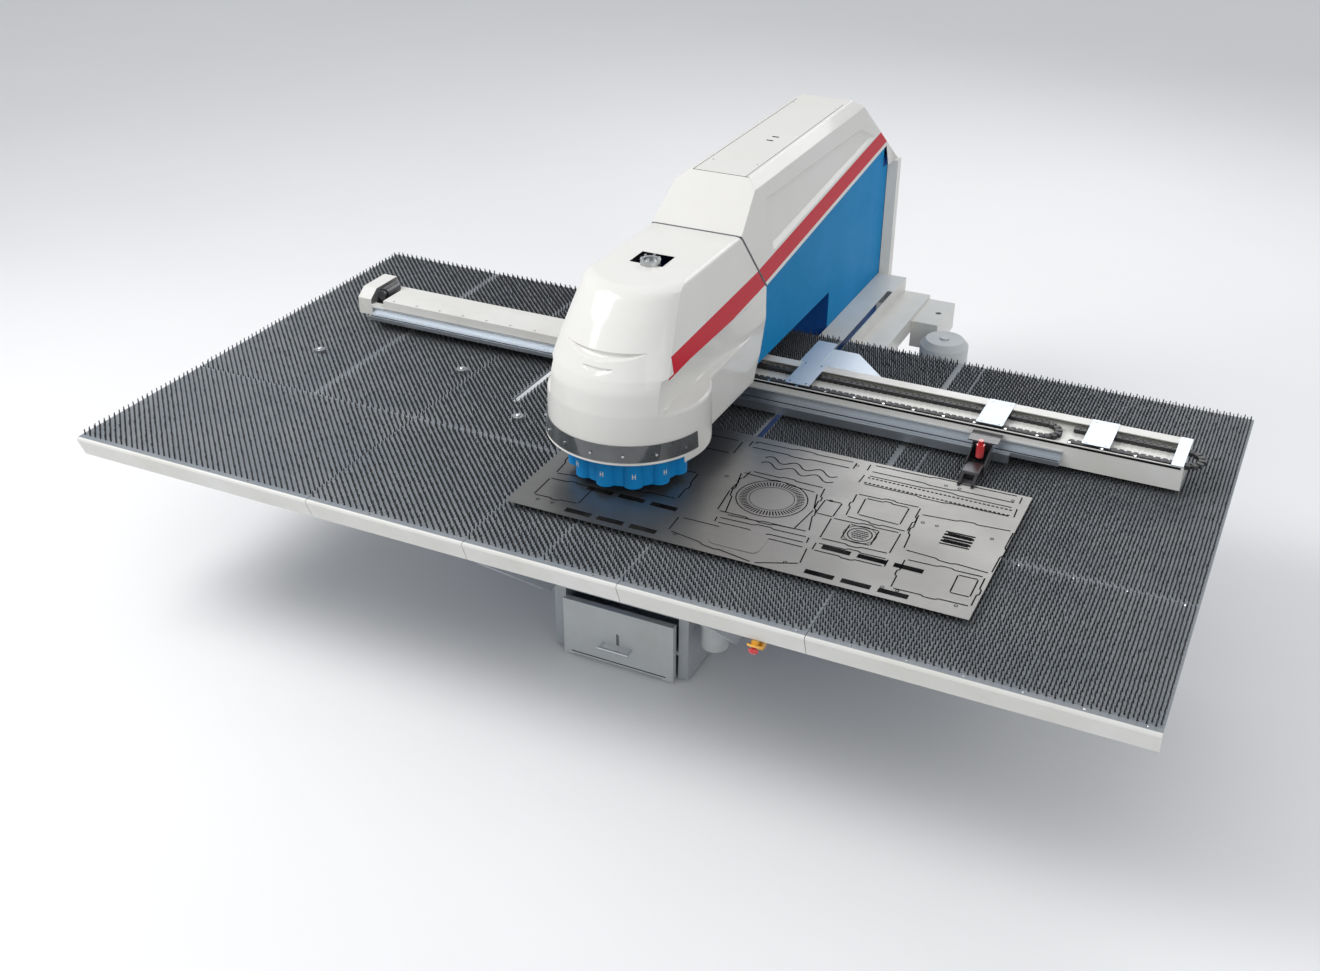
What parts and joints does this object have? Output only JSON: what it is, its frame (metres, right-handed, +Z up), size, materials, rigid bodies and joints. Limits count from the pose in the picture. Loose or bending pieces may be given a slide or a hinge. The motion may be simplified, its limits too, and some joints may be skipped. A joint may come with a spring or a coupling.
{
  "type": "cnc turret punch press",
  "caption": "C-frame turret punch press with moulded hoods over a wide brush table, a cross beam with clamps, a punched steel sheet and a slug drawer.",
  "frame": {"origin": "on the floor under the middle of the machine's overall box", "axes": "+X right along the table's front edge, +Y from the front to the back, +Z up"},
  "size_m": [4.84, 3.66, 2.04],
  "materials": {
    "cover_white": "gloss",
    "frame_paint": "satin",
    "panel_blue": "satin",
    "turret_blue": "satin",
    "table_paint": "satin",
    "brush": "matte",
    "white_paint": "satin",
    "galvanised": "satin",
    "steel": "brushed",
    "bright": "polished",
    "black_steel": "satin",
    "clear": "clear",
    "red_paint": "gloss",
    "yellow": "gloss",
    "black_plastic": "matte",
    "belt_rubber": "matte",
    "sheet_steel": "brushed",
    "iron": "cast",
    "grey_paint": "satin"
  },
  "bodies": {
    "machine": {"ball_cups": "steel", "beam_tracks": "steel", "c_frame": "frame_paint", "cover_bolts": "bright", "drawer_bay": "grey_paint", "drum_rim": "cover_white", "front_brushes": "brush", "front_column": "grey_paint", "front_fascia": "white_paint", "front_struts": "grey_paint", "front_table_plates": "table_paint", "guard_window": "clear", "head_cover": "cover_white", "levelling_feet": "steel", "low_housing": "white_paint", "lower_spindle": "steel", "oil_tank": "grey_paint", "plate_screws": "bright", "pump_motor": "grey_paint", "rail_carriers": "grey_paint", "ram_cylinder": "steel", "rear_band": "white_paint", "rear_brushes": "brush", "rear_cover": "cover_white", "rear_table_plates": "table_paint", "round_housing": "grey_paint", "side_panels": "panel_blue", "slotted_housings": "white_paint", "step_housing": "white_paint", "stop_collar": "yellow", "table_frame": "grey_paint", "transfer_balls": "bright", "turret_belt": "belt_rubber", "turret_motor": "black_steel", "upper_spindle": "steel"},
    "y_carriage": {"cross_beam": "white_paint", "guide_rail": "galvanised", "beam_lid": "white_paint", "beam_end_cover": "white_paint", "carriage_motor": "black_steel", "energy_chains": "black_plastic", "chain_bridges": "galvanised", "slot_arms": "galvanised"},
    "x_carriage": {"clamp_bar": "galvanised", "clamp_bodies": "black_steel", "clamp_cylinders": "red_paint", "workpiece_sheet": "sheet_steel"},
    "jaw_1": {"clamp_jaw_1": "bright"},
    "jaw_2": {"clamp_jaw_2": "bright"},
    "ram": {"ram": "steel"},
    "upper_turret": {"upper_turret": "turret_blue", "punches": "steel"},
    "lower_turret": {"lower_turret": "iron", "dies": "steel"},
    "motor_pulley": {"motor_pulley": "steel"},
    "drawer": {"drawer_front": "grey_paint", "drawer_bin": "steel", "drawer_handle": "bright"},
    "stop_button": {"stop_button": "red_paint"}
  },
  "joints": [
    {"name": "y_slide", "type": "slide", "parent": "machine", "child": "y_carriage", "axis": [0, 1, 0], "range_m": [-0.22, 0.64]},
    {"name": "x_slide", "type": "slide", "parent": "y_carriage", "child": "x_carriage", "axis": [1, 0, 0], "range_m": [-1.66, 0.2]},
    {"name": "jaw_hinge_1", "type": "hinge", "parent": "x_carriage", "child": "jaw_1", "pos_m": [1.375, -0.38, 1.005], "axis": [-1, 0, 0], "range_deg": [0, 8]},
    {"name": "jaw_hinge_2", "type": "hinge", "parent": "x_carriage", "child": "jaw_2", "pos_m": [-0.105, -0.38, 1.005], "axis": [-1, 0, 0], "range_deg": [0, 8]},
    {"name": "ram_slide", "type": "slide", "parent": "machine", "child": "ram", "axis": [0, 0, -1], "range_m": [0, 0.034]},
    {"name": "upper_turret_turn", "type": "hinge", "parent": "machine", "child": "upper_turret", "pos_m": [0, -1, 1.08], "axis": [0, 0, 1], "continuous": true},
    {"name": "lower_turret_turn", "type": "hinge", "parent": "machine", "child": "lower_turret", "pos_m": [0, -1, 0.9], "axis": [0, 0, 1], "continuous": true},
    {"name": "motor_pulley_turn", "type": "hinge", "parent": "machine", "child": "motor_pulley", "pos_m": [-0.255, -1, 1.175], "axis": [0, 0, 1], "continuous": true},
    {"name": "drawer_slide", "type": "slide", "parent": "machine", "child": "drawer", "axis": [0, -1, 0], "range_m": [0, 0.45]},
    {"name": "stop_press", "type": "slide", "parent": "machine", "child": "stop_button", "axis": [0, 0.5, 0.866], "range_m": [0, 0.006], "stiffness_N_per_m": 800, "springref_m": -0.002}
  ],
  "couplings": [
    {"joint": "lower_turret_turn", "follows": "upper_turret_turn", "ratio": 1},
    {"joint": "motor_pulley_turn", "follows": "upper_turret_turn", "ratio": 3.9286}
  ]
}
